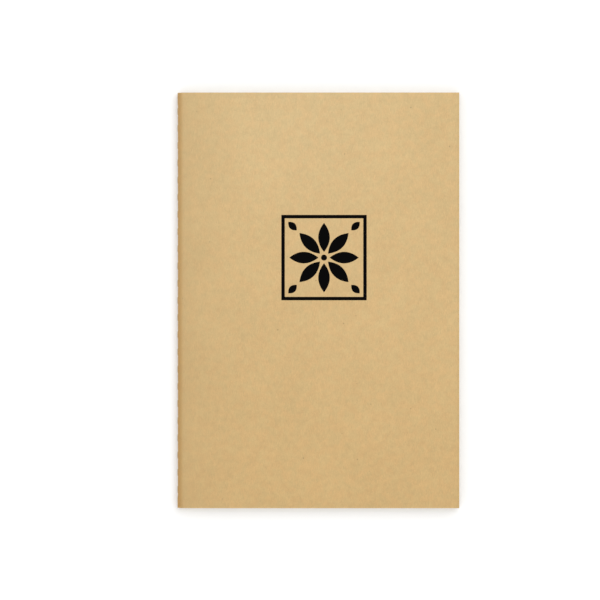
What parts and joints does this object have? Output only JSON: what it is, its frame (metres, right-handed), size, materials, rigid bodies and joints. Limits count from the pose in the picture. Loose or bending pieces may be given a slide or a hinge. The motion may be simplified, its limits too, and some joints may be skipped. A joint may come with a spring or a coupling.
{
  "type": "pocket notebook",
  "caption": "Pocket notebook: folded paper sheets sewn through the fold of a plain kraft card cover; the cover and every leaf turn over on the spine.",
  "frame": {"origin": "centre of the closed notebook's outline, on the plane its back cover lies on", "axes": "+X from the spine to the fore edge, +Y from the tail to the head, +Z from the back cover to the front cover"},
  "size_m": [0.095, 0.14, 0.0038],
  "materials": {
    "kraft_card": "matt brown kraft card",
    "cream_paper": "uncoated cream writing paper",
    "cotton_thread": "waxed natural sewing thread"
  },
  "bodies": {
    "back_cover": {"back_cover": "kraft_card", "cover_spine": "kraft_card", "spine_thread": "cotton_thread"},
    "sheet_01_back_leaf": {"sheet_01_back_leaf": "cream_paper"},
    "sheet_02_back_leaf": {"sheet_02_back_leaf": "cream_paper"},
    "sheet_03_back_leaf": {"sheet_03_back_leaf": "cream_paper"},
    "sheet_04_back_leaf": {"sheet_04_back_leaf": "cream_paper"},
    "sheet_05_back_leaf": {"sheet_05_back_leaf": "cream_paper"},
    "sheet_06_back_leaf": {"sheet_06_back_leaf": "cream_paper"},
    "sheet_07_back_leaf": {"sheet_07_back_leaf": "cream_paper"},
    "sheet_08_back_leaf": {"sheet_08_back_leaf": "cream_paper"},
    "sheet_09_back_leaf": {"sheet_09_back_leaf": "cream_paper"},
    "sheet_10_back_leaf": {"sheet_10_back_leaf": "cream_paper"},
    "sheet_11_back_leaf": {"sheet_11_back_leaf": "cream_paper"},
    "sheet_12_back_leaf": {"sheet_12_back_leaf": "cream_paper"},
    "sheet_12_front_leaf": {"sheet_12_front_leaf": "cream_paper"},
    "sheet_11_front_leaf": {"sheet_11_front_leaf": "cream_paper"},
    "sheet_10_front_leaf": {"sheet_10_front_leaf": "cream_paper"},
    "sheet_09_front_leaf": {"sheet_09_front_leaf": "cream_paper"},
    "sheet_08_front_leaf": {"sheet_08_front_leaf": "cream_paper"},
    "sheet_07_front_leaf": {"sheet_07_front_leaf": "cream_paper"},
    "sheet_06_front_leaf": {"sheet_06_front_leaf": "cream_paper"},
    "sheet_05_front_leaf": {"sheet_05_front_leaf": "cream_paper"},
    "sheet_04_front_leaf": {"sheet_04_front_leaf": "cream_paper"},
    "sheet_03_front_leaf": {"sheet_03_front_leaf": "cream_paper"},
    "sheet_02_front_leaf": {"sheet_02_front_leaf": "cream_paper"},
    "sheet_01_front_leaf": {"sheet_01_front_leaf": "cream_paper"},
    "front_cover": {"front_cover": "kraft_card"}
  },
  "joints": [
    {"name": "leaf_24_turn", "type": "hinge", "parent": "back_cover", "child": "sheet_01_back_leaf", "pos_m": [-0.04673, 0, 0.00192], "axis": [0, -1, 0], "range_deg": [0, 180]},
    {"name": "leaf_23_turn", "type": "hinge", "parent": "sheet_01_back_leaf", "child": "sheet_02_back_leaf", "pos_m": [-0.04673, 0, 0.00192], "axis": [0, -1, 0], "range_deg": [0, 180]},
    {"name": "leaf_22_turn", "type": "hinge", "parent": "sheet_02_back_leaf", "child": "sheet_03_back_leaf", "pos_m": [-0.04673, 0, 0.00192], "axis": [0, -1, 0], "range_deg": [0, 180]},
    {"name": "leaf_21_turn", "type": "hinge", "parent": "sheet_03_back_leaf", "child": "sheet_04_back_leaf", "pos_m": [-0.04673, 0, 0.00192], "axis": [0, -1, 0], "range_deg": [0, 180]},
    {"name": "leaf_20_turn", "type": "hinge", "parent": "sheet_04_back_leaf", "child": "sheet_05_back_leaf", "pos_m": [-0.04673, 0, 0.00192], "axis": [0, -1, 0], "range_deg": [0, 180]},
    {"name": "leaf_19_turn", "type": "hinge", "parent": "sheet_05_back_leaf", "child": "sheet_06_back_leaf", "pos_m": [-0.04673, 0, 0.00192], "axis": [0, -1, 0], "range_deg": [0, 180]},
    {"name": "leaf_18_turn", "type": "hinge", "parent": "sheet_06_back_leaf", "child": "sheet_07_back_leaf", "pos_m": [-0.04673, 0, 0.00192], "axis": [0, -1, 0], "range_deg": [0, 180]},
    {"name": "leaf_17_turn", "type": "hinge", "parent": "sheet_07_back_leaf", "child": "sheet_08_back_leaf", "pos_m": [-0.04673, 0, 0.00192], "axis": [0, -1, 0], "range_deg": [0, 180]},
    {"name": "leaf_16_turn", "type": "hinge", "parent": "sheet_08_back_leaf", "child": "sheet_09_back_leaf", "pos_m": [-0.04673, 0, 0.00192], "axis": [0, -1, 0], "range_deg": [0, 180]},
    {"name": "leaf_15_turn", "type": "hinge", "parent": "sheet_09_back_leaf", "child": "sheet_10_back_leaf", "pos_m": [-0.04673, 0, 0.00192], "axis": [0, -1, 0], "range_deg": [0, 180]},
    {"name": "leaf_14_turn", "type": "hinge", "parent": "sheet_10_back_leaf", "child": "sheet_11_back_leaf", "pos_m": [-0.04673, 0, 0.00192], "axis": [0, -1, 0], "range_deg": [0, 180]},
    {"name": "leaf_13_turn", "type": "hinge", "parent": "sheet_11_back_leaf", "child": "sheet_12_back_leaf", "pos_m": [-0.04673, 0, 0.00192], "axis": [0, -1, 0], "range_deg": [0, 180]},
    {"name": "centre_open", "type": "hinge", "parent": "sheet_12_back_leaf", "child": "sheet_12_front_leaf", "pos_m": [-0.04673, 0, 0.00192], "axis": [0, -1, 0], "range_deg": [0, 180]},
    {"name": "leaf_11_turn", "type": "hinge", "parent": "sheet_12_front_leaf", "child": "sheet_11_front_leaf", "pos_m": [-0.04673, 0, 0.00192], "axis": [0, -1, 0], "range_deg": [0, 180]},
    {"name": "leaf_10_turn", "type": "hinge", "parent": "sheet_11_front_leaf", "child": "sheet_10_front_leaf", "pos_m": [-0.04673, 0, 0.00192], "axis": [0, -1, 0], "range_deg": [0, 180]},
    {"name": "leaf_09_turn", "type": "hinge", "parent": "sheet_10_front_leaf", "child": "sheet_09_front_leaf", "pos_m": [-0.04673, 0, 0.00192], "axis": [0, -1, 0], "range_deg": [0, 180]},
    {"name": "leaf_08_turn", "type": "hinge", "parent": "sheet_09_front_leaf", "child": "sheet_08_front_leaf", "pos_m": [-0.04673, 0, 0.00192], "axis": [0, -1, 0], "range_deg": [0, 180]},
    {"name": "leaf_07_turn", "type": "hinge", "parent": "sheet_08_front_leaf", "child": "sheet_07_front_leaf", "pos_m": [-0.04673, 0, 0.00192], "axis": [0, -1, 0], "range_deg": [0, 180]},
    {"name": "leaf_06_turn", "type": "hinge", "parent": "sheet_07_front_leaf", "child": "sheet_06_front_leaf", "pos_m": [-0.04673, 0, 0.00192], "axis": [0, -1, 0], "range_deg": [0, 180]},
    {"name": "leaf_05_turn", "type": "hinge", "parent": "sheet_06_front_leaf", "child": "sheet_05_front_leaf", "pos_m": [-0.04673, 0, 0.00192], "axis": [0, -1, 0], "range_deg": [0, 180]},
    {"name": "leaf_04_turn", "type": "hinge", "parent": "sheet_05_front_leaf", "child": "sheet_04_front_leaf", "pos_m": [-0.04673, 0, 0.00192], "axis": [0, -1, 0], "range_deg": [0, 180]},
    {"name": "leaf_03_turn", "type": "hinge", "parent": "sheet_04_front_leaf", "child": "sheet_03_front_leaf", "pos_m": [-0.04673, 0, 0.00192], "axis": [0, -1, 0], "range_deg": [0, 180]},
    {"name": "leaf_02_turn", "type": "hinge", "parent": "sheet_03_front_leaf", "child": "sheet_02_front_leaf", "pos_m": [-0.04673, 0, 0.00192], "axis": [0, -1, 0], "range_deg": [0, 180]},
    {"name": "leaf_01_turn", "type": "hinge", "parent": "sheet_02_front_leaf", "child": "sheet_01_front_leaf", "pos_m": [-0.04673, 0, 0.00192], "axis": [0, -1, 0], "range_deg": [0, 180]},
    {"name": "cover_open", "type": "hinge", "parent": "sheet_01_front_leaf", "child": "front_cover", "pos_m": [-0.04673, 0, 0.00192], "axis": [0, -1, 0], "range_deg": [0, 180]}
  ]
}
